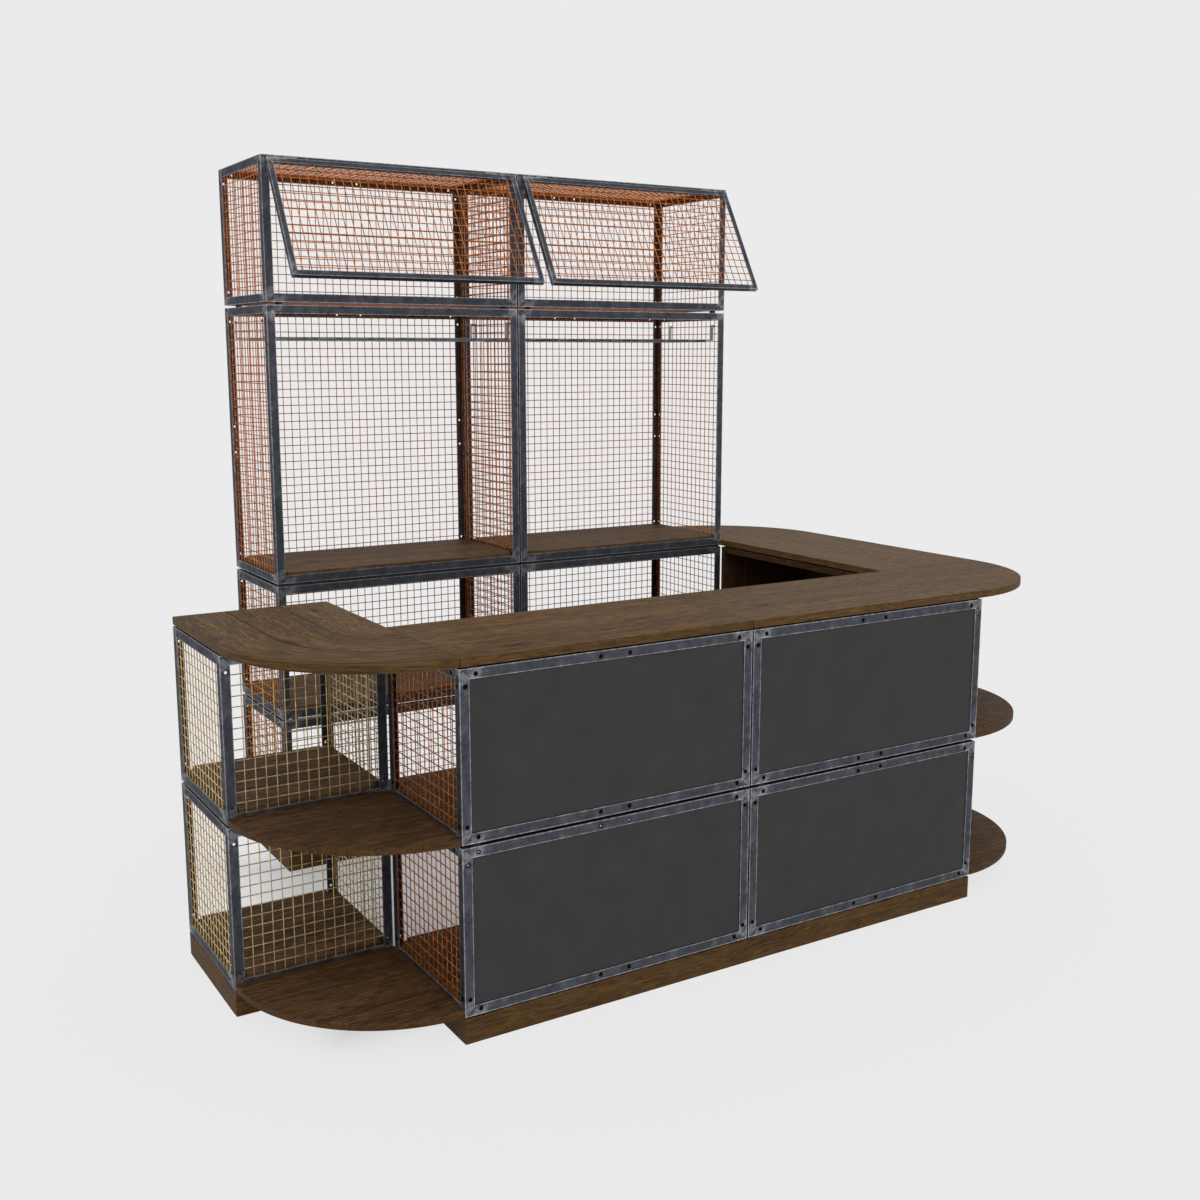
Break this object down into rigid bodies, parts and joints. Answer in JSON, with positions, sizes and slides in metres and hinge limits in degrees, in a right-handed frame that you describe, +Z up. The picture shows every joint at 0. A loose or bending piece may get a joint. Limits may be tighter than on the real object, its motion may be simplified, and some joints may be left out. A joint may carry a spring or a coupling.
{
  "type": "pop-up bar",
  "caption": "Walk-in bar of stacked steel mesh modules with wooden counter, rounded corners, wooden side cabinet, shelved back bar, glass racks and flap doors.",
  "frame": {"origin": "on the floor, in the middle of the bar's plan", "axes": "+X along the front counter to the customer's right, +Y from the front counter to the back bar, +Z up"},
  "size_m": [3.018, 2.017, 2.613],
  "materials": {
    "frame_steel": "dark blue-grey steel with bare weld seams, satin clear coat",
    "red_wire": "copper-red coated wire",
    "gold_wire": "pale gold coated wire",
    "dark_panel": "matt charcoal board",
    "top_wood": "dark oiled planks, satin",
    "shelf_wood": "dark oiled planks, satin",
    "floor_wood": "dark oiled planks",
    "plinth_wood": "dark oiled boards",
    "cabinet_wood": "dark stained boards",
    "hinge_steel": "plain steel",
    "rack_steel": "dark bright steel",
    "pad_rubber": "black rubber"
  },
  "bodies": {
    "bar": {"back_corner_shelves": "shelf_wood", "back_corner_top": "top_wood", "back_floors": "floor_wood", "back_frame_a_left": "frame_steel", "back_frame_a_right": "frame_steel", "back_frame_b_left": "frame_steel", "back_frame_b_right": "frame_steel", "back_frame_c_left": "frame_steel", "back_frame_c_right": "frame_steel", "back_frame_d_left": "frame_steel", "back_frame_d_right": "frame_steel", "back_net_a": "red_wire", "back_net_b": "red_wire", "back_net_c": "red_wire", "back_net_d": "red_wire", "back_plinths": "plinth_wood", "cabinet_bottom": "cabinet_wood", "cabinet_cover": "cabinet_wood", "cabinet_ends": "cabinet_wood", "cabinet_outer": "cabinet_wood", "cabinet_plinth": "plinth_wood", "cabinet_shelf": "cabinet_wood", "front_floors": "floor_wood", "front_frame_lower_left": "frame_steel", "front_frame_lower_right": "frame_steel", "front_frame_upper_left": "frame_steel", "front_frame_upper_right": "frame_steel", "front_net_left": "red_wire", "front_net_right": "red_wire", "front_panels_lower": "dark_panel", "front_panels_upper": "dark_panel", "front_plinths": "plinth_wood", "front_top_left": "top_wood", "front_top_right": "top_wood", "hinge_leaves": "hinge_steel", "left_corner_shelves": "shelf_wood", "left_floors": "floor_wood", "left_frame_lower": "frame_steel", "left_frame_upper": "frame_steel", "left_net_lower": "gold_wire", "left_net_upper": "gold_wire", "left_plinth": "plinth_wood", "left_rack": "rack_steel", "left_top": "top_wood", "pads": "pad_rubber", "rack_hooks": "rack_steel", "right_corner_shelves": "shelf_wood", "right_corner_top": "top_wood", "right_rack": "rack_steel", "right_top": "top_wood", "stack_spacers": "pad_rubber"},
    "left_flap": {"left_flap_frame": "frame_steel", "left_flap_net": "red_wire", "left_flap_leaves": "hinge_steel"},
    "right_flap": {"right_flap_frame": "frame_steel", "right_flap_net": "red_wire", "right_flap_leaves": "hinge_steel"}
  },
  "joints": [
    {"name": "left_flap_hinge", "type": "hinge", "parent": "bar", "child": "left_flap", "pos_m": [-0.501, 0.5045, 2.597], "axis": [-1, 0, 0], "range_deg": [-29.3, 60.7]},
    {"name": "right_flap_hinge", "type": "hinge", "parent": "bar", "child": "right_flap", "pos_m": [0.505, 0.5045, 2.597], "axis": [-1, 0, 0], "range_deg": [-29.3, 60.7]}
  ]
}
